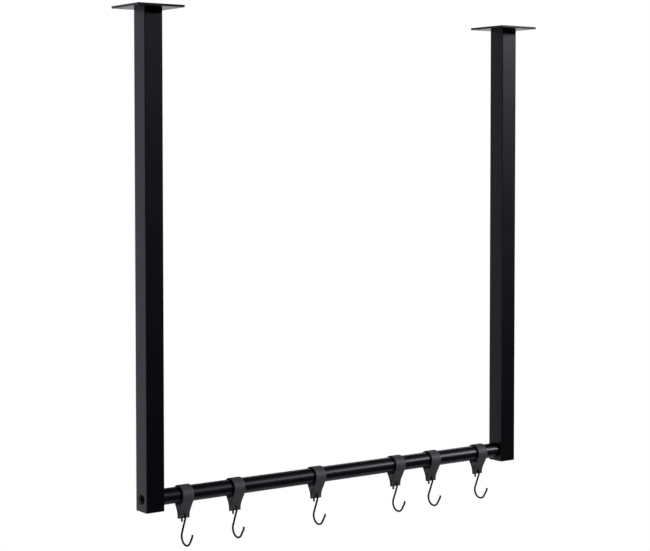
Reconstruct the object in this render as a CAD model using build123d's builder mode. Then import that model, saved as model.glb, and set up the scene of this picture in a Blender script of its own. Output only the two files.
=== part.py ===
from build123d import *
import os
from math import cos, radians, sin

os.makedirs("parts", exist_ok=True)

# A clothes rail that hangs from the ceiling: two square posts, a round rail between their lower
# ends, and leather loops along the rail that each carry a wire S-hook.
# Millimetres, +Z up. The origin lies midway between the two ceiling plates, on their top faces.
# X runs along the rail, and the S-hooks open towards -Y.

# Ceiling plates
plate_width = 90
plate_thickness = 4
plate_corner_radius = 1
plate_edge_radius = 0.5
screw_spacing = 66
screw_hole_diameter = 6

# Posts, cut from square tube
post_pitch = 810
post_length = 850
post_side = 35
post_wall = 2
post_corner_radius = 0.8
post_inner_radius = 0.3

# Ribbed plastic insert in each post's open end
cap_base_thickness = 2.5
cap_skirt_height = 8
cap_skirt_wall = 2
cap_fin_count = 3
cap_fin_thickness = 0.8
cap_fin_reach = 0.6

# Rail, a round tube with a threaded plug in each end
rail_diameter = 28
rail_wall = 2
rail_above_post_end = 21
plug_length = 25
plug_chamfer = 1

# Socket-head bolts that hold the rail, and the spacer sleeves that carry their heads.
# The recess is the depth of a head's outer end below the post's outer face.
bolt_diameter = 8
bolt_length = 40
bolt_head_diameter = 13
bolt_head_height = 8
bolt_socket_flats = 6
bolt_socket_depth = 4
bolt_edge_chamfer = 0.8
bolt_head_recess = 6
sleeve_diameter = 16

# Domed plastic covers, snapped into the access holes in the posts' outer faces
cover_lip = 1.5
cover_height = 2.8
cover_rim_height = 0.6
cover_skirt_wall = 1.4
cover_barb_reach = 0.45
cover_slot_width = 1.6

# Leather loops, each one strip folded over the rail
loop_places = (-0.874, -0.600, -0.142, 0.341, 0.568, 0.877)
leather_width = 22
leather_thickness = 2.2
loop_inner_radius = 15.4
flank_angle = 30
tab_bend_radius = 26
tab_below_rail_axis = 41.8
tab_hole_diameter = 5.2
tab_hole_margin = 3.7

# S-hooks, bent from one length of wire
wire_diameter = 3.5
wire_end_radius = 1.2
eye_radius = 5.6
tail_length = 8.8
shank_angle = 22.5
shank_length = 27.5
bowl_radius = 14.5
leg_angle = 32.5
leg_length = 12.4
tip_radius = 7
tip_turn = 22
tip_length = 3

# Clearances
press_gap = 0.05
cap_gap = 0.1
bolt_gap = 0.25
access_gap = 0.5
cover_gap = 1.6
leather_gap = 0.3
wire_gap = 0.3

# Heights and lengths that follow from the sizes above
post_top = -plate_thickness
post_end = post_top - post_length
rail_z = post_end + rail_above_post_end
rail_length = post_pitch - post_side
rail_bore = rail_diameter - 2 * rail_wall
cap_side = post_side - 2 * post_wall - 2 * cap_gap
cap_skirt_side = cap_side - 2 * cap_fin_reach
sleeve_length = post_side - post_wall - bolt_head_recess - bolt_head_height
access_hole_radius = bolt_head_diameter / 2 + access_gap
loop_z = rail_z + rail_diameter / 2 + leather_gap - loop_inner_radius
tab_end_z = rail_z - tab_below_rail_axis
tab_half_thickness = leather_gap / 2 + leather_thickness

# The eye of the S-hook is centred so that its wire rides just above the hole's lower edge,
# where it leaves the leather on either side.
tab_hole_bottom_z = tab_end_z + tab_hole_margin
eye_inner_radius = eye_radius - wire_diameter / 2
eye_z = tab_hole_bottom_z + wire_gap - (eye_inner_radius**2 - tab_half_thickness**2) ** 0.5

sides = (("left", -1), ("right", 1))


def strip_line(depth):
    """Draw half of the folded strip in section, from the tab's end up to the round loop.

    The line lies at a depth into the leather, counted from the strip's inner face.
    """
    radius = loop_inner_radius + depth
    half_gap = leather_gap / 2 + depth
    angle = radians(flank_angle)
    flank_top = (-radius * cos(angle), loop_z - radius * sin(angle))
    flank_run = (-flank_top[0] - half_gap) / sin(angle)
    corner = (-half_gap, flank_top[1] - flank_run * cos(angle))
    return FilletPolyline((-half_gap, tab_end_z), corner, flank_top, radius=tab_bend_radius - depth)


for side, sign in sides:
    post_x = sign * post_pitch / 2

    # Flat steel plate, welded to the post's upper end and screwed to the ceiling
    with BuildPart() as ceiling_plate:
        with BuildSketch(Plane.XY):
            with Locations((post_x, 0)):
                RectangleRounded(plate_width, plate_width, plate_corner_radius)
                with GridLocations(screw_spacing, screw_spacing, 2, 2):
                    Circle(screw_hole_diameter / 2, mode=Mode.SUBTRACT)
        extrude(amount=-plate_thickness)
        flat_faces = ceiling_plate.faces().filter_by(Axis.Z)
        outlines = [edge for face in flat_faces for edge in face.outer_wire().edges()]
        fillet(outlines, plate_edge_radius)
    ceiling_plate.part.label = f"ceiling_plate_{side}"
    export_step(ceiling_plate.part, f"parts/{ceiling_plate.part.label}.step")

    # Square tube with an access hole in its outer face and a bolt hole in its inner face
    with BuildPart() as post:
        with BuildSketch(Plane.XY.offset(post_top)):
            with Locations((post_x, 0)):
                RectangleRounded(post_side, post_side, post_corner_radius)
                post_bore = post_side - 2 * post_wall
                RectangleRounded(post_bore, post_bore, post_inner_radius, mode=Mode.SUBTRACT)
        extrude(amount=-post_length)
        post_axis = Plane(origin=(post_x, 0, rail_z), z_dir=(sign, 0, 0))
        with BuildSketch(post_axis):
            Circle(access_hole_radius)
        extrude(amount=post_side / 2, mode=Mode.SUBTRACT)
        with BuildSketch(post_axis):
            Circle(bolt_diameter / 2 + bolt_gap)
        extrude(amount=-post_side / 2, mode=Mode.SUBTRACT)
    post.part.label = f"post_{side}"
    export_step(post.part, f"parts/{post.part.label}.step")

    # Insert with a flat base flush with the tube's end and fins that grip its walls
    with BuildPart() as post_cap:
        with BuildSketch(Plane.XY.offset(post_end)):
            with Locations((post_x, 0)):
                RectangleRounded(cap_side, cap_side, post_inner_radius)
        extrude(amount=cap_base_thickness)
        with BuildSketch(Plane.XY.offset(post_end + cap_base_thickness)):
            with Locations((post_x, 0)):
                Rectangle(cap_skirt_side, cap_skirt_side)
                skirt_bore = cap_skirt_side - 2 * cap_skirt_wall
                Rectangle(skirt_bore, skirt_bore, mode=Mode.SUBTRACT)
        extrude(amount=cap_skirt_height)
        fin_pitch = cap_skirt_height / cap_fin_count
        for fin in range(cap_fin_count):
            fin_top = post_end + cap_base_thickness + (fin + 1) * fin_pitch
            with BuildSketch(Plane.XY.offset(fin_top)):
                with Locations((post_x, 0)):
                    RectangleRounded(cap_side, cap_side, post_inner_radius)
                    Rectangle(skirt_bore, skirt_bore, mode=Mode.SUBTRACT)
            extrude(amount=-cap_fin_thickness)
    post_cap.part.label = f"post_cap_{side}"
    export_step(post_cap.part, f"parts/{post_cap.part.label}.step")

    # Sleeve inside the post, from its inner wall out to the bolt's head
    inner_wall_x = post_x - sign * (post_side / 2 - post_wall)
    with BuildPart() as sleeve:
        with BuildSketch(Plane(origin=(inner_wall_x, 0, rail_z), z_dir=(sign, 0, 0))):
            Circle(sleeve_diameter / 2)
            Circle(bolt_diameter / 2 + bolt_gap, mode=Mode.SUBTRACT)
        extrude(amount=sleeve_length)
    sleeve.part.label = f"spacer_sleeve_{side}"
    export_step(sleeve.part, f"parts/{sleeve.part.label}.step")

    # Bolt, through the sleeve and the inner wall into the rail's plug
    head_seat = Plane(origin=(inner_wall_x + sign * sleeve_length, 0, rail_z), z_dir=(sign, 0, 0))
    with BuildPart() as bolt:
        with BuildSketch(head_seat):
            Circle(bolt_head_diameter / 2)
        extrude(amount=bolt_head_height)
        with BuildSketch(head_seat):
            Circle(bolt_diameter / 2)
        extrude(amount=-bolt_length)
        outer_rim = bolt.edges().filter_by(GeomType.CIRCLE).sort_by(Axis.X)[-1 if sign > 0 else 0]
        inner_tip = bolt.edges().filter_by(GeomType.CIRCLE).sort_by(Axis.X)[0 if sign > 0 else -1]
        chamfer([outer_rim, inner_tip], bolt_edge_chamfer)
        with BuildSketch(head_seat.offset(bolt_head_height)):
            RegularPolygon(bolt_socket_flats / 2, 6, major_radius=False)
        extrude(amount=-bolt_socket_depth, mode=Mode.SUBTRACT)
    bolt.part.label = f"rail_bolt_{side}"
    export_step(bolt.part, f"parts/{bolt.part.label}.step")

    # Cover over the access hole: a low dome on the post's face, and a split skirt behind it
    # whose barbs catch behind the tube's wall
    outer_face = Plane(origin=(post_x + sign * post_side / 2, 0, rail_z), z_dir=(sign, 0, 0))
    cover_radius = access_hole_radius + cover_lip
    skirt_radius = access_hole_radius - cap_gap
    skirt_bore_radius = skirt_radius - cover_skirt_wall
    skirt_end = cover_gap - bolt_head_recess
    barb_seat = -post_wall - cap_gap
    with BuildPart() as bolt_cover:
        with BuildSketch(Plane(outer_face.origin, x_dir=(sign, 0, 0), z_dir=(0, -sign, 0))):
            with BuildLine():
                crown = (cover_height, 0)
                dome = TangentArc(crown, (cover_rim_height, cover_radius), tangent=(0, 1))
                Polyline(
                    dome @ 1,
                    (0, cover_radius),
                    (0, skirt_radius),
                    (barb_seat, skirt_radius),
                    (barb_seat, skirt_radius + cover_barb_reach),
                    (skirt_end, skirt_radius - cover_barb_reach),
                    (skirt_end, skirt_bore_radius),
                    (cover_rim_height, skirt_bore_radius),
                    (cover_rim_height, 0),
                    crown,
                )
            make_face()
        revolve(axis=Axis(outer_face.origin, outer_face.z_dir))
        with BuildSketch(outer_face):
            slot_reach = 2 * (skirt_radius + cover_barb_reach)
            Rectangle(slot_reach, cover_slot_width)
            Rectangle(cover_slot_width, slot_reach)
        extrude(amount=skirt_end, mode=Mode.SUBTRACT)
    bolt_cover.part.label = f"bolt_cover_{side}"
    export_step(bolt_cover.part, f"parts/{bolt_cover.part.label}.step")

    # Threaded plug, pressed into the rail and flush with its end
    rail_end = Plane(origin=(sign * rail_length / 2, 0, rail_z), z_dir=(sign, 0, 0))
    with BuildPart() as plug:
        with BuildSketch(rail_end):
            Circle(rail_bore / 2 - press_gap)
            Circle(bolt_diameter / 2 + press_gap, mode=Mode.SUBTRACT)
        extrude(amount=-plug_length)
        hole_rims = plug.edges().filter_by(GeomType.CIRCLE).sort_by(SortBy.RADIUS)[:2]
        chamfer(hole_rims, plug_chamfer)
    plug.part.label = f"rail_plug_{side}"
    export_step(plug.part, f"parts/{plug.part.label}.step")

# Round tube that butts against both posts' inner faces
with BuildPart() as rail_tube:
    with BuildSketch(Plane.YZ):
        with Locations((0, rail_z)):
            Circle(rail_diameter / 2)
            Circle(rail_bore / 2, mode=Mode.SUBTRACT)
    extrude(amount=rail_length / 2, both=True)
rail_tube.part.label = "rail_tube"
export_step(rail_tube.part, f"parts/{rail_tube.part.label}.step")

for number, place in enumerate(loop_places, start=1):
    loop_x = place * rail_length / 2

    # Leather strip: round over the rail, straight flanks drawn together, and a two-layer tab
    with BuildPart() as leather_loop:
        with BuildSketch(Plane.YZ.offset(loop_x)):
            with BuildLine():
                inner_face = strip_line(0)
                outer_face = strip_line(leather_thickness)
                tab_end = Line(inner_face @ 0, outer_face @ 0)
                mirror([inner_face, outer_face, tab_end], about=Plane.YZ)
                for face, depth in ((inner_face, 0), (outer_face, leather_thickness)):
                    ThreePointArc(
                        face @ 1,
                        (0, loop_z + loop_inner_radius + depth),
                        (-(face @ 1).X, (face @ 1).Y),
                    )
            make_face()
        extrude(amount=leather_width / 2, both=True)
        tab_hole_z = tab_hole_bottom_z + tab_hole_diameter / 2
        with BuildSketch(Plane.XZ):
            with Locations((loop_x, tab_hole_z)):
                Circle(tab_hole_diameter / 2)
        extrude(amount=2 * tab_half_thickness, both=True, mode=Mode.SUBTRACT)
    leather_loop.part.label = f"leather_loop_{number}"
    export_step(leather_loop.part, f"parts/{leather_loop.part.label}.step")

    # S-hook: tail, eye through the tab's hole, slanting shank, open bowl and turned-up tip
    with BuildPart() as s_hook:
        with BuildLine(Plane.YZ.offset(loop_x)) as wire:
            tail = Line((eye_radius, eye_z - tail_length), (eye_radius, eye_z))
            eye = JernArc(tail @ 1, tail % 1, eye_radius, 180 + shank_angle)
            shank = PolarLine(eye @ 1, shank_length, direction=eye % 1)
            bowl = JernArc(shank @ 1, shank % 1, bowl_radius, -(180 + shank_angle - leg_angle))
            leg = PolarLine(bowl @ 1, leg_length, direction=bowl % 1)
            turn = JernArc(leg @ 1, leg % 1, tip_radius, -tip_turn)
            PolarLine(turn @ 1, tip_length, direction=turn % 1)
        with BuildSketch(Plane(origin=wire.line @ 0, z_dir=wire.line % 0)):
            Circle(wire_diameter / 2)
        sweep(path=wire.line)
        fillet(s_hook.faces().filter_by(GeomType.PLANE).edges(), wire_end_radius)
    s_hook.part.label = f"s_hook_{number}"
    export_step(s_hook.part, f"parts/{s_hook.part.label}.step")
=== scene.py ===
# A clothes rail that hangs from the ceiling, dressed over its CAD frame: two square posts on
# ceiling plates, a round rail between them, and six leather loops that each carry an S-hook.
# Metres, +Z up. X runs along the rail, and the S-hooks open towards -Y.
from math import asin, atan2, ceil, cos, pi, radians, sin, tan

import bmesh
import bpy
from mathutils import Matrix, Vector, noise


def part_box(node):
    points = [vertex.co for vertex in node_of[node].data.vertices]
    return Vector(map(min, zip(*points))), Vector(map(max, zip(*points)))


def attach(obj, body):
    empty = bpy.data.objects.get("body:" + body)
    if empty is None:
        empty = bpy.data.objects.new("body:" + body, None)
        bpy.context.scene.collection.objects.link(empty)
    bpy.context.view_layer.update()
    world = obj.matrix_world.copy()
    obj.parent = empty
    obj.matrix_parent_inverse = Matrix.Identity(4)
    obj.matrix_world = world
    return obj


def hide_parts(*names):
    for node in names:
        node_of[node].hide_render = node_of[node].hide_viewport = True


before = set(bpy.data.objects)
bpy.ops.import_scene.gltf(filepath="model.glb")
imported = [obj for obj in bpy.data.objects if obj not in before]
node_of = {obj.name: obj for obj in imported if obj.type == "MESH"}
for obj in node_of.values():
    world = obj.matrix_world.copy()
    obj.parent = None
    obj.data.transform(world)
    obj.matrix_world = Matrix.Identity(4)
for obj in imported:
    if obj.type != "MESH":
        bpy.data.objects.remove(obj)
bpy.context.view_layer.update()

# Camera
# It stands to the left of the rail and just below the ceiling plates, and looks slightly down.
# The lens is a short telephoto, shifted because the picture is a crop of a wider one.
IMAGE_WIDTH = 650
FOCAL_PIXELS = 1615.7
camera_place = Vector((-1.8015, -2.3460, -0.2589))
camera_turn, camera_dip, camera_roll = radians(35.154), radians(2.256), radians(-0.09)

camera_data = bpy.data.cameras.new("camera")
camera_data.sensor_width = 36
camera_data.lens = FOCAL_PIXELS * camera_data.sensor_width / IMAGE_WIDTH
camera_data.shift_x, camera_data.shift_y = 0.08, -0.08
camera = bpy.data.objects.new("camera", camera_data)
bpy.context.scene.collection.objects.link(camera)
bpy.context.scene.camera = camera

looking = Vector(
    (sin(camera_turn) * cos(camera_dip), cos(camera_turn) * cos(camera_dip), -sin(camera_dip))
)
level_right = Vector((cos(camera_turn), -sin(camera_turn), 0))
level_up = level_right.cross(looking)
right = cos(camera_roll) * level_right + sin(camera_roll) * level_up
up = cos(camera_roll) * level_up - sin(camera_roll) * level_right
turned = Matrix((right, up, -looking)).transposed().to_4x4()
camera.matrix_world = Matrix.Translation(camera_place) @ turned

# Surroundings
# A plain white studio, with a pale floor well below the hooks. Both are seen but not mirrored,
# so the dark metal takes its reflections from the soft lights alone.
FLOOR_HEIGHT, FLOOR_SIDE = -2.45, 7.0
WHITE = (1, 1, 1, 1)

bpy.context.scene.view_settings.view_transform = "Standard"
studio = bpy.data.worlds.new("white_studio")
studio.use_nodes = True
studio.node_tree.nodes["Background"].inputs["Color"].default_value = WHITE
studio.cycles_visibility.glossy = False
studio.cycles_visibility.diffuse = False
bpy.context.scene.world = studio

half_floor = FLOOR_SIDE / 2
floor_corners = [(-1, -1), (1, -1), (1, 1), (-1, 1)]
floor_mesh = bpy.data.meshes.new("floor")
floor_mesh.from_pydata(
    [(x * half_floor, y * half_floor, FLOOR_HEIGHT) for x, y in floor_corners],
    [],
    [(0, 1, 2, 3)],
)
floor = bpy.data.objects.new("floor", floor_mesh)
bpy.context.scene.collection.objects.link(floor)

# The floor glows a little, so that its far edges are as white as the studio behind them.
floor_paint = bpy.data.materials.new("pale_floor")
floor_paint.use_nodes = True
floor_coat = floor_paint.node_tree.nodes["Principled BSDF"].inputs
floor_coat["Base Color"].default_value = (0.86, 0.86, 0.85, 1)
floor_coat["Roughness"].default_value = 0.7
floor_coat["Emission Color"].default_value = WHITE
floor_coat["Emission Strength"].default_value = 0.9
floor_mesh.materials.append(floor_paint)
floor.visible_glossy = floor.visible_diffuse = False

# Lights
# Large soft panels around the rail, in a slightly violet white. The camera doesn't see them,
# but each flat face and each round of the metal mirrors the one that lies opposite.
VIOLET_WHITE, NEAR_WHITE = (1.0, 0.985, 1.16), (1.0, 0.99, 1.04)


def soft_panel(name, place, target, width, height, radiance, colour=VIOLET_WHITE, mirrored=True):
    """Set up a rectangular light panel that faces a point, bright by its radiance."""
    panel = bpy.data.lights.new(name, "AREA")
    panel.shape = "RECTANGLE"
    panel.color = colour
    panel.size, panel.size_y = width, height
    panel.energy = radiance * pi * width * height
    lamp = bpy.data.objects.new(name, panel)
    bpy.context.scene.collection.objects.link(lamp)
    lamp.location = place
    lamp.rotation_euler = (Vector(target) - Vector(place)).to_track_quat("-Z", "Y").to_euler()
    lamp.visible_camera = False
    lamp.visible_glossy = mirrored


# The key, high at the front right: the streak along the rail and the glow at the posts' tops.
soft_panel(
    "key_panel", place=(6.12, -2.93, 1.85), target=(0, 0, -0.4),
    width=5.5, height=0.65, radiance=29.0,
)
# Behind: a tall wall for the posts' left faces, a long low one for the undersides of the plates,
# and a panel above them for the rail's top edge.
soft_panel(
    "left_wall", place=(-2.15, 4.2, -0.5), target=(0, 0, -0.5),
    width=1.3, height=6.0, radiance=1.2,
)
soft_panel(
    "back_wall", place=(3.65, 4.2, -0.45), target=(1.0, 0, -0.45),
    width=4.3, height=1.3, radiance=1.45, colour=NEAR_WHITE,
)
soft_panel(
    "back_top_panel", place=(3.5, 3.0, 1.0), target=(0, 0, -0.8),
    width=2.4, height=2.2, radiance=0.9,
)
# Below and above: the light along the rail's underside, and the tops of plates and loops.
soft_panel(
    "low_panel", place=(0.6, 1.2, -2.4), target=(0.6, 1.2, 0),
    width=8.0, height=4.0, radiance=0.4,
)
soft_panel(
    "front_low_panel", place=(0.6, -2.4, -2.4), target=(0.6, -2.4, 0),
    width=8.0, height=3.2, radiance=0.02,
)
soft_panel(
    "top_panel", place=(-0.7, 0.5, 2.6), target=(-0.2, 0, -0.5),
    width=3.4, height=1.6, radiance=0.3,
)
# Low walls, which the metal mirrors when it is seen from behind.
soft_panel(
    "low_back_wall", place=(2.1, 4.2, -2.1), target=(1.0, 0, -0.6),
    width=7.2, height=1.0, radiance=0.25,
)
soft_panel(
    "low_left_wall", place=(-4.2, -2.4, -1.9), target=(0, 0, -0.6),
    width=5.0, height=1.6, radiance=0.7,
)
# A fill at the front left, which lights the leather and leaves the metal dark.
soft_panel(
    "fill_panel", place=(-3.0, -4.2, 0.6), target=(0, 0, -0.6),
    width=3.0, height=3.0, radiance=2.5, mirrored=False,
)


# Ceiling plates and posts
# Flat steel plates welded to square steel tube, all under one coat of satin black powder paint.
# The paint flows out smooth, with a very fine orange-peel texture.
MM = 0.001


class Signal:
    """A value on its way through a finish's nodes, which can be used in plain sums."""

    def __init__(self, finish, socket):
        self.finish, self.socket = finish, socket

    def math(self, operation, other):
        return self.finish.node("Math", {"operation": operation}, {0: self, 1: other})

    def __add__(self, other):
        return self.math("ADD", other)

    def __mul__(self, other):
        return self.math("MULTIPLY", other)

    __radd__, __rmul__ = __add__, __mul__


class Finish:
    """A painted, moulded or tanned surface, built up as the nodes of one material."""

    def __init__(self, name, **even):
        self.material = bpy.data.materials.new(name)
        self.material.use_nodes = True
        self.tree = self.material.node_tree
        self.surface = self.tree.nodes["Principled BSDF"]
        self.paint(**even)

    def feed(self, node, sockets):
        """Set a node's sockets, by name or number, to values or to other nodes' outputs."""
        for name, value in sockets.items():
            socket = node.inputs[name.replace("_", " ") if isinstance(name, str) else name]
            if isinstance(value, Signal):
                self.tree.links.new(value.socket, socket)
            else:
                socket.default_value = value

    def node(self, kind, settings, sockets, output=0):
        made = self.tree.nodes.new("ShaderNode" + kind)
        for name, value in settings.items():
            setattr(made, name, value)
        self.feed(made, sockets)
        return Signal(self, made.outputs[output])

    def place(self):
        """Where a point of the surface lies on its piece, in metres."""
        return self.node("TexCoord", {}, {}, "Object")

    def stretched(self, place, scale):
        """Places whose noise is drawn out along the axes with a small scale."""
        return self.node("VectorMath", {"operation": "MULTIPLY"}, {0: place, 1: scale})

    def noise(self, place, size, detail, roughness=0.5):
        """Cloudy noise whose spots are about the given size across, in metres."""
        look = {"Scale": 1 / size, "Detail": detail, "Roughness": roughness}
        return self.node("TexNoise", {}, {"Vector": place, **look})

    def between(self, amount, dark, light):
        """A colour that runs from one to the other."""
        colours = {6: (*dark, 1), 7: (*light, 1)}
        return self.node("Mix", {"data_type": "RGBA"}, {0: amount, **colours}, 2)

    def paint(self, **sockets):
        self.feed(self.surface, sockets)

    def bump(self, height, depth, strength=1.0):
        """Raise the surface by height times depth, in metres."""
        raised = {"Height": height, "Distance": depth, "Strength": strength}
        self.paint(Normal=self.node("Bump", {}, raised))

    def put_on(self, *names):
        for name in names:
            for slot in node_of[name].material_slots:
                slot.material = self.material


powder = Finish("satin_black_powder", Specular_IOR_Level=0.5)
at = powder.place()
peel = powder.noise(at, size=1.1 * MM, detail=1.5)
cloud = powder.noise(at, size=60 * MM, detail=3)
powder.paint(
    Base_Color=powder.between(
        cloud, dark=(0.0012, 0.0012, 0.0014), light=(0.0022, 0.0022, 0.0025)
    ),
    Roughness=0.27 + 0.05 * cloud + 0.03 * peel,
)
powder.bump(peel, depth=0.004 * MM)
powder.put_on("ceiling_plate_left", "ceiling_plate_right", "post_left", "post_right")

# Rail
# Round steel tube in a smoother black lacquer than the posts, so it shows one soft streak of
# light along its length.
lacquer = Finish("black_lacquer", Specular_IOR_Level=0.5)
at = lacquer.place()
ripple = lacquer.noise(at, size=1.6 * MM, detail=2)
haze = lacquer.noise(lacquer.stretched(at, (0.3, 1, 1)), size=25 * MM, detail=3)
lacquer.paint(
    Base_Color=lacquer.between(
        haze, dark=(0.0015, 0.0015, 0.0018), light=(0.003, 0.003, 0.0034)
    ),
    Roughness=0.305 + 0.06 * haze,
)
lacquer.bump(ripple, depth=0.0015 * MM)
lacquer.put_on("rail_tube")

# Bolts, sleeves and threaded plugs
# Black-oxide socket-head bolts, zinc-plated sleeves that carry their heads inside the posts,
# and zinc-plated plugs pressed into the rail. Covers and posts hide them all.
oxide = Finish("black_oxide", Metallic=0.85)
at = oxide.place()
turning = oxide.noise(oxide.stretched(at, (6, 1, 1)), size=2 * MM, detail=3)
oxide.paint(
    Base_Color=oxide.between(turning, dark=(0.10, 0.10, 0.105), light=(0.18, 0.18, 0.19)),
    Roughness=0.34 + 0.14 * turning,
)
oxide.bump(turning, depth=0.03 * MM, strength=0.4)
oxide.put_on("rail_bolt_left", "rail_bolt_right")

zinc = Finish("zinc_plate", Metallic=1.0)
at = zinc.place()
spangle = zinc.noise(at, size=2.5 * MM, detail=4)
zinc.paint(
    Base_Color=zinc.between(spangle, dark=(0.42, 0.43, 0.45), light=(0.62, 0.63, 0.65)),
    Roughness=0.32 + 0.15 * spangle,
)
zinc.bump(spangle, depth=0.02 * MM, strength=0.3)
zinc.put_on("spacer_sleeve_left", "spacer_sleeve_right", "rail_plug_left", "rail_plug_right")

# Post caps
# Black moulded plastic inserts with fins, pushed into the posts' open lower ends.
# Their outer faces have a fine spark-eroded texture.
plastic = Finish("moulded_plastic", Specular_IOR_Level=0.45)
at = plastic.place()
spark = plastic.noise(at, size=0.6 * MM, detail=2)
flow = plastic.noise(at, size=18 * MM, detail=2)
plastic.paint(
    Base_Color=plastic.between(
        flow, dark=(0.008, 0.008, 0.009), light=(0.013, 0.013, 0.014)
    ),
    Roughness=0.48 + 0.12 * spark,
)
plastic.bump(spark, depth=0.03 * MM, strength=0.6)
plastic.put_on("post_cap_left", "post_cap_right")

# Bolt covers
# Low domes of dull, deep black plastic, moulded smooth and snapped into the holes that let
# the bolts in.
cover_plastic = Finish("cover_plastic", Specular_IOR_Level=0.1)
at = cover_plastic.place()
sink = cover_plastic.noise(at, size=3 * MM, detail=2)
cover_plastic.paint(
    Base_Color=cover_plastic.between(
        sink, dark=(0.002, 0.002, 0.0022), light=(0.004, 0.004, 0.0044)
    ),
    Roughness=0.4 + 0.08 * sink,
)
cover_plastic.bump(sink, depth=0.01 * MM)
cover_plastic.put_on("bolt_cover_left", "bolt_cover_right")

# S-hooks
# Each is bent from one length of round steel wire and dipped in black lacquer, which leaves
# faint runs down the wire and rounds its ends.
HOOK_COUNT = 6

dip = Finish("dipped_wire", Specular_IOR_Level=0.2)
at = dip.place()
runs = dip.noise(dip.stretched(at, (1, 1, 0.3)), size=2 * MM, detail=2)
dip.paint(
    Base_Color=dip.between(runs, dark=(0.002, 0.002, 0.0022), light=(0.005, 0.005, 0.0055)),
    Roughness=0.44 + 0.08 * runs,
)
dip.bump(runs, depth=0.006 * MM)
dip.put_on(*(f"s_hook_{number}" for number in range(1, HOOK_COUNT + 1)))

# Leather loops
# Each is one strip of charcoal leather, finished on both sides and folded over the rail. The
# two ends lie together as a tab, and one punched hole through both takes the S-hook's eye.
LEATHER_WIDTH, LEATHER_THICKNESS = 22 * MM, 2.2 * MM
LOOP_RADIUS, LOOP_HEIGHT = 15.4 * MM, -834.1 * MM
FLANK_ANGLE, BEND_RADIUS = radians(30), 26 * MM
TAB_END, HALF_GAP = -874.8 * MM, 0.15 * MM
HOLE_HEIGHT, HOLE_RADIUS = -868.5 * MM, 2.6 * MM

grain_side = Finish("leather_grain", Specular_IOR_Level=0.4)
at = grain_side.place()
pebble = grain_side.node(
    "TexVoronoi",
    {"feature": "SMOOTH_F1"},
    {"Vector": at, "Scale": 1 / (1.3 * MM), "Smoothness": 0.6},
)
pores = grain_side.noise(at, size=0.5 * MM, detail=3)
tanning = grain_side.noise(at, size=9 * MM, detail=4, roughness=0.6)
grain_side.paint(
    Base_Color=grain_side.between(
        tanning, dark=(0.054, 0.054, 0.051), light=(0.088, 0.088, 0.083)
    ),
    Roughness=0.44 + 0.2 * tanning,
)
grain_side.bump(pebble + 0.4 * pores, depth=0.14 * MM, strength=0.55)

cut_side = Finish("leather_cut_edge", Specular_IOR_Level=0.25)
at = cut_side.place()
fibres = cut_side.noise(at, size=0.45 * MM, detail=5, roughness=0.65)
cut_side.paint(
    Base_Color=cut_side.between(fibres, dark=(0.03, 0.03, 0.029), light=(0.055, 0.054, 0.052)),
    Roughness=0.75 + 0.2 * fibres,
)
cut_side.bump(fibres, depth=0.12 * MM, strength=0.7)

# Half of the strip's inner face runs along the tab, round the bend, up the flank, and a third
# of a turn over the rail. These are the lengths of those runs.
flank_foot = LOOP_HEIGHT - LOOP_RADIUS * sin(FLANK_ANGLE)
flank_run = (LOOP_RADIUS * cos(FLANK_ANGLE) - HALF_GAP) / sin(FLANK_ANGLE)
bend_tangent = BEND_RADIUS * tan(FLANK_ANGLE / 2)
bend_start = flank_foot - flank_run * cos(FLANK_ANGLE) - bend_tangent
tab_run = bend_start - TAB_END
bend_run = BEND_RADIUS * FLANK_ANGLE
straight_run = flank_run - bend_tangent
crown_run = LOOP_RADIUS * (pi / 2 + FLANK_ANGLE)
half_strip = tab_run + bend_run + straight_run + crown_run
crown_start = half_strip - crown_run
hole_run = tab_run + BEND_RADIUS * asin((HOLE_HEIGHT - bend_start) / BEND_RADIUS)


def on_strip(along, across, depth):
    """A point of the folded strip.

    It lies along the strip from the front tab's end, across it from its middle, and deep into
    the leather from its inner face.
    """
    front = along <= half_strip
    run = along if front else 2 * half_strip - along
    if run < tab_run:
        y, z, lean = -HALF_GAP, TAB_END + run, 0.0
    elif run < tab_run + bend_run:
        lean = (run - tab_run) / BEND_RADIUS
        y = -HALF_GAP - BEND_RADIUS * (1 - cos(lean))
        z = bend_start + BEND_RADIUS * sin(lean)
    elif run < crown_start:
        lean = FLANK_ANGLE
        rise = crown_start - run
        y = -LOOP_RADIUS * cos(lean) + rise * sin(lean)
        z = flank_foot - rise * cos(lean)
    else:
        lean = FLANK_ANGLE - (run - crown_start) / LOOP_RADIUS
        y = -LOOP_RADIUS * cos(lean)
        z = LOOP_HEIGHT - LOOP_RADIUS * sin(lean)
    y -= depth * cos(lean)
    z -= depth * sin(lean)
    return Vector((across, y if front else -y, z))


# The strip's cage is a grid of stations along it, rows across it and layers through it. Close
# pairs of lines keep its edges crisp, and a square block of cells around each hole is left out.
EDGE_INSET, FACE_INSET = 0.6 * MM, 0.5 * MM
BLOCK_HALF, BLOCK_CELLS = 3.6 * MM, 4
OUTER_ROW, LONGEST_SPAN = 7 * MM, 2.6 * MM
GRAIN, CUT = 0, 1  # the order of the strip's materials
INNER, OUTER = 0, 3  # its first and last layers

half_width = LEATHER_WIDTH / 2
block = [BLOCK_HALF * (2 * step / BLOCK_CELLS - 1) for step in range(BLOCK_CELLS + 1)]
rows = [-half_width, -half_width + EDGE_INSET, -OUTER_ROW]
rows += block + [OUTER_ROW, half_width - EDGE_INSET, half_width]
layers = [0, FACE_INSET, LEATHER_THICKNESS - FACE_INSET, LEATHER_THICKNESS]

stations = [0, FACE_INSET] + [hole_run + step for step in block]
to_middle = half_strip - stations[-1]
spans = ceil(to_middle / LONGEST_SPAN)
stations += [stations[-1] + to_middle * step / spans for step in range(1, spans + 1)]
stations += [2 * half_strip - along for along in reversed(stations[:-1])]

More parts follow.
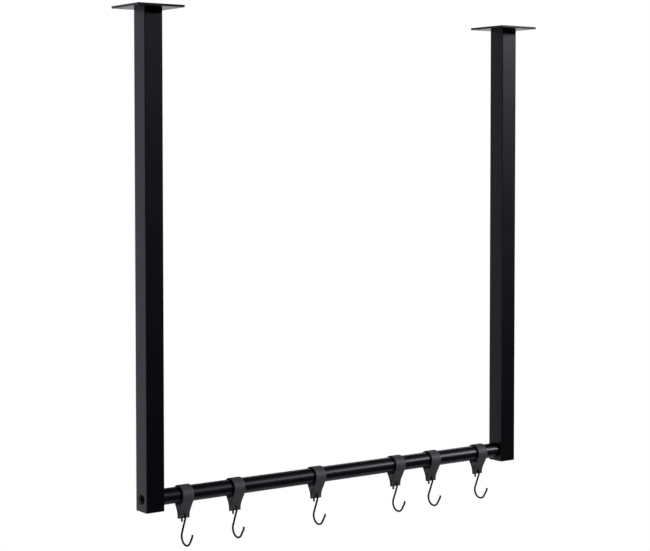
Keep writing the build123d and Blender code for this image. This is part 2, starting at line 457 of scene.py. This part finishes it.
last_station, last_row = len(stations) - 1, len(rows) - 1
block_row, near_block = rows.index(block[0]), stations.index(hole_run + block[0])
block_stations = (near_block, last_station - near_block - BLOCK_CELLS)

# The rings of a hole's rim, from its outer face through the leather to its inner face, each as
# a radius and a layer. The middle bands between rings are the hole's cut wall. Smoothing draws
# so coarse a ring in a little, so each ring starts that much larger.
HOLE_RINGS = (
    (HOLE_RADIUS + FACE_INSET, OUTER), (HOLE_RADIUS, OUTER), (HOLE_RADIUS, 2),
    (HOLE_RADIUS, 1), (HOLE_RADIUS, INNER), (HOLE_RADIUS + FACE_INSET, INNER),
)
HOLE_WALL = (2, 3, 4)
RIM_CORNERS = 4 * BLOCK_CELLS
round_up = 6 / (4 + 2 * cos(2 * pi / RIM_CORNERS))


def in_hole(station, row):
    """Whether a cell lies in one of the two blocks that are left out."""
    beside = block_row <= row < block_row + BLOCK_CELLS
    return beside and any(start <= station < start + BLOCK_CELLS for start in block_stations)


def block_rim(start):
    """The grid's places around the block that starts at a station, in order."""
    end, first, last = start + BLOCK_CELLS, block_row, block_row + BLOCK_CELLS
    steps = range(BLOCK_CELLS)
    rim = [(start + step, first) for step in steps] + [(end, first + step) for step in steps]
    return rim + [(end - step, last) for step in steps] + [(start, last - step) for step in steps]


# Hide never lies quite flat: slow waves move the strip by up to about a tenth of a millimetre.
WAVE, WAVE_SEED = Vector((0.12, 0.10, 0.06)) * MM, 7
WAVE_ACROSS, WAVE_ALONG, STRIPS_APART = 9 * MM, 14 * MM, 31


def leather_strip(number):
    """Build one folded strip as a closed cage with two punched holes, ready to be smoothed.

    It hangs where the frame has its loop.
    """
    low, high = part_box(f"leather_loop_{number}")
    centre = Vector(((low.x + high.x) / 2, 0, 0))
    mesh = bmesh.new()
    grid = {}

    def corner(along, across, depth):
        """Add a corner of the cage, moved by the hide's waves."""
        point = on_strip(along, across, depth)
        drift = noise.noise_vector(
            (point.x / WAVE_ACROSS + STRIPS_APART * number, along / WAVE_ALONG, number)
        )
        return mesh.verts.new(point + WAVE * drift.x + centre)

    def at_place(i, j, k):
        if (i, j, k) not in grid:
            grid[i, j, k] = corner(stations[i], rows[j], layers[k])
        return grid[i, j, k]

    def face(corners, material=GRAIN):
        """Add a face whose corners are places of the grid or corners made before."""
        made = mesh.faces.new([at_place(*c) if isinstance(c, tuple) else c for c in corners])
        made.material_index = material
        made.smooth = True

    for i in range(last_station):
        for j in range(last_row):
            if not in_hole(i, j):
                for k in (INNER, OUTER):
                    face([(i, j, k), (i, j + 1, k), (i + 1, j + 1, k), (i + 1, j, k)])
        for j in (0, last_row):
            for k in range(OUTER):
                face([(i, j, k), (i + 1, j, k), (i + 1, j, k + 1), (i, j, k + 1)], CUT)
    for i in (0, last_station):
        for j in range(last_row):
            for k in range(OUTER):
                face([(i, j, k), (i, j, k + 1), (i, j + 1, k + 1), (i, j + 1, k)], CUT)

    for start in block_stations:
        rim = block_rim(start)
        middle = stations[start + BLOCK_CELLS // 2]
        rings = []
        for radius, k in HOLE_RINGS:
            angles = [atan2(stations[i] - middle, rows[j]) for i, j in rim]
            reach = radius * round_up
            rings.append(
                [corner(middle + reach * sin(a), reach * cos(a), layers[k]) for a in angles]
            )
        bands = [[(*place, OUTER) for place in rim], *rings, [(*place, INNER) for place in rim]]
        for index, (ring, after) in enumerate(zip(bands, bands[1:])):
            material = CUT if index in HOLE_WALL else GRAIN
            for n in range(RIM_CORNERS):
                m = (n + 1) % RIM_CORNERS
                face([ring[n], ring[m], after[m], after[n]], material)
    bmesh.ops.recalc_face_normals(mesh, faces=mesh.faces)

    strip_mesh = bpy.data.meshes.new(f"leather_strip_{number}")
    mesh.to_mesh(strip_mesh)
    mesh.free()
    strip_mesh.materials.append(grain_side.material)
    strip_mesh.materials.append(cut_side.material)
    strip = bpy.data.objects.new(f"leather_strip_{number}", strip_mesh)
    bpy.context.scene.collection.objects.link(strip)
    smoothing = strip.modifiers.new("smooth", "SUBSURF")
    smoothing.levels = smoothing.render_levels = 2
    return strip


noise.seed_set(WAVE_SEED)
for number in range(1, HOOK_COUNT + 1):
    strip = leather_strip(number)
    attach(strip, f"loop_{number}")
    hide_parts(f"leather_loop_{number}")
